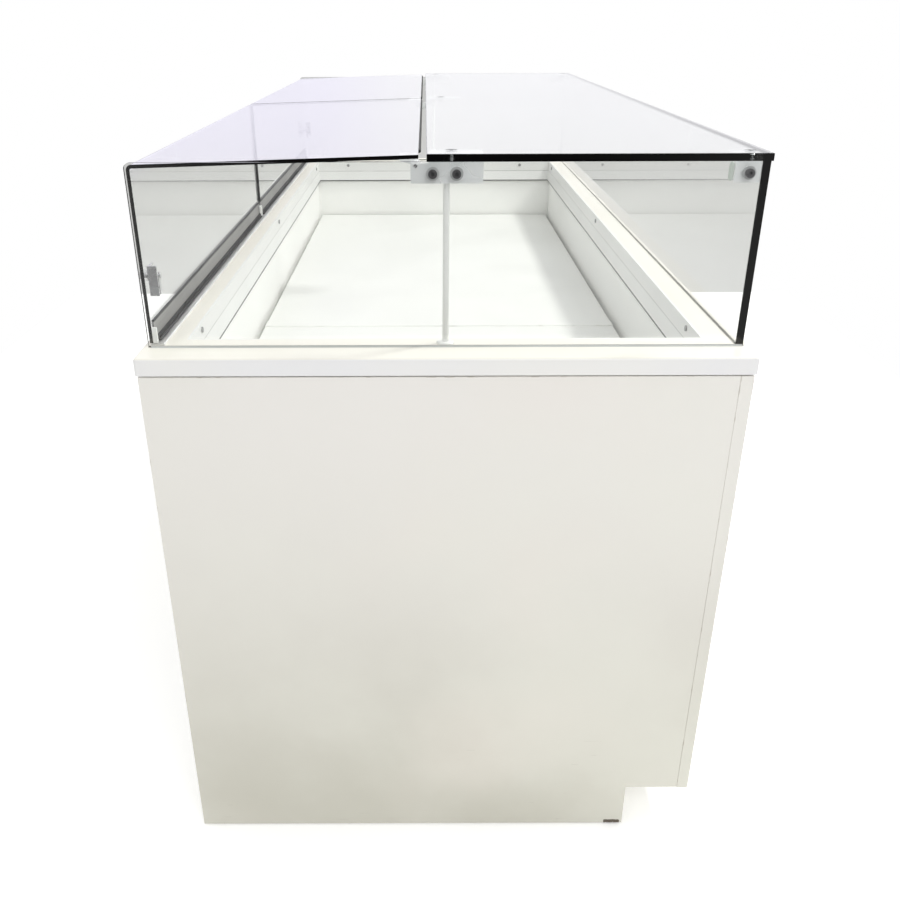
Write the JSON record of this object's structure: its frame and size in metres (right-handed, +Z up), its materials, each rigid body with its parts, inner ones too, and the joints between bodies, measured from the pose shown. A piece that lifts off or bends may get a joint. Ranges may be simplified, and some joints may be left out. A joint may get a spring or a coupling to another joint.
{
  "type": "display chest freezer",
  "caption": "White display chest freezer with an open well, a fixed flat-glass customer half and lift-up bent-glass lids on the service half.",
  "frame": {"origin": "middle of the footprint, on the floor", "axes": "+Z up; +Y along the cabinet's length to the far end; -X is the service side with the lids, +X the customer side with the toe kick"},
  "size_m": [0.88, 2.04, 1.166],
  "materials": {
    "laminate": "satin",
    "kick_laminate": "satin",
    "white_steel": "satin",
    "grille_plastic": "matte",
    "frame_steel": "satin",
    "foot_plastic": "matte",
    "worktop": "satin",
    "collar_plastic": "satin",
    "small_screw_steel": "satin",
    "liner_steel": "satin",
    "galvanised_steel": "satin",
    "foam": "matte",
    "aluminium_tube": "satin",
    "drain_plastic": "matte",
    "black_steel": "gloss",
    "rubber": "matte",
    "fan_plastic": "satin",
    "copper": "satin",
    "control_plastic": "matte",
    "knob_plastic": "satin",
    "switch_plastic": "gloss",
    "end_glass": "polished",
    "thick_glass": "polished",
    "lid_glass": "polished",
    "rail_aluminium": "satin",
    "white_cap": "matte",
    "hinge_chrome": "polished",
    "pin_steel": "satin",
    "post_enamel": "satin",
    "screw_steel": "polished",
    "clear_seal": "gloss"
  },
  "bodies": {
    "cabinet": {"access_panel": "white_steel", "base_frame": "frame_steel", "collar_customer": "collar_plastic", "collar_ends": "collar_plastic", "collar_screws": "small_screw_steel", "collar_service": "collar_plastic", "compressor": "black_steel", "compressor_grommets": "rubber", "condenser": "aluminium_tube", "control_box": "control_plastic", "cord_gland": "control_plastic", "corner_connectors": "hinge_chrome", "countersunk_screws": "screw_steel", "customer_panel": "laminate", "deck_panel_long": "liner_steel", "drain_tube": "drain_plastic", "end_glass_far": "end_glass", "end_glass_near": "end_glass", "end_panel_far": "laminate", "end_panel_near": "laminate", "evaporator_coil": "aluminium_tube", "fan_motor": "black_steel", "fan_shroud": "galvanised_steel", "filter_drier": "copper", "foam_insulation": "foam", "glass_seals": "clear_seal", "hinge_bracket_middle": "hinge_chrome", "hinge_brackets_end": "hinge_chrome", "hinge_pins": "pin_steel", "latch_brackets": "hinge_chrome", "levelling_feet": "foot_plastic", "lid_rest_strip": "rail_aluminium", "machine_deck": "frame_steel", "refrigerant_lines": "copper", "service_panel": "laminate", "side_glass": "thick_glass", "socket_screws": "screw_steel", "support_posts": "post_enamel", "tank_skin": "galvanised_steel", "toe_kick_boards": "kick_laminate", "top_glass": "thick_glass", "vent_grille": "grille_plastic", "well_liner": "liner_steel", "worktop_frame": "worktop"},
    "lid_near": {"bent_glass_near": "lid_glass", "lid_rail_near": "rail_aluminium", "rail_caps_near": "white_cap", "lid_knuckles_near": "hinge_chrome"},
    "lid_far": {"bent_glass_far": "lid_glass", "lid_rail_far": "rail_aluminium", "rail_caps_far": "white_cap", "lid_knuckles_far": "hinge_chrome"},
    "latch_near": {"latch_knob_near": "hinge_chrome"},
    "latch_far": {"latch_knob_far": "hinge_chrome"},
    "fan": {"fan_blade": "fan_plastic"},
    "thermostat": {"thermostat_knob": "knob_plastic"},
    "switch": {"power_switch": "switch_plastic"},
    "deck_lid": {"deck_panel_short": "liner_steel", "deck_seam_strip": "liner_steel"}
  },
  "joints": [
    {"name": "lid_near_hinge", "type": "hinge", "parent": "cabinet", "child": "lid_near", "pos_m": [-0.042, -0.48, 1.15], "axis": [0, 1, 0], "range_deg": [0, 90]},
    {"name": "lid_far_hinge", "type": "hinge", "parent": "cabinet", "child": "lid_far", "pos_m": [-0.042, 0.48, 1.15], "axis": [0, 1, 0], "range_deg": [0, 90]},
    {"name": "latch_near_turn", "type": "hinge", "parent": "lid_near", "child": "latch_near", "pos_m": [-0.43, -0.929, 0.996], "axis": [-1, 0, 0], "range_deg": [0, 90]},
    {"name": "latch_far_turn", "type": "hinge", "parent": "lid_far", "child": "latch_far", "pos_m": [-0.43, 0.929, 0.996], "axis": [1, 0, 0], "range_deg": [0, 90]},
    {"name": "fan_spin", "type": "hinge", "parent": "cabinet", "child": "fan", "pos_m": [-0.32, -0.62, 0.202], "axis": [1, 0, 0], "continuous": true},
    {"name": "thermostat_turn", "type": "hinge", "parent": "cabinet", "child": "thermostat", "pos_m": [-0.425, -0.13, 0.46], "axis": [-1, 0, 0], "range_deg": [0, 270]},
    {"name": "switch_rock", "type": "hinge", "parent": "cabinet", "child": "switch", "pos_m": [-0.418, -0.06, 0.46], "axis": [0, 1, 0], "range_deg": [0, 16]},
    {"name": "deck_panel_lift", "type": "slide", "parent": "cabinet", "child": "deck_lid", "axis": [0, 0, 1], "range_m": [0, 0.165]}
  ]
}
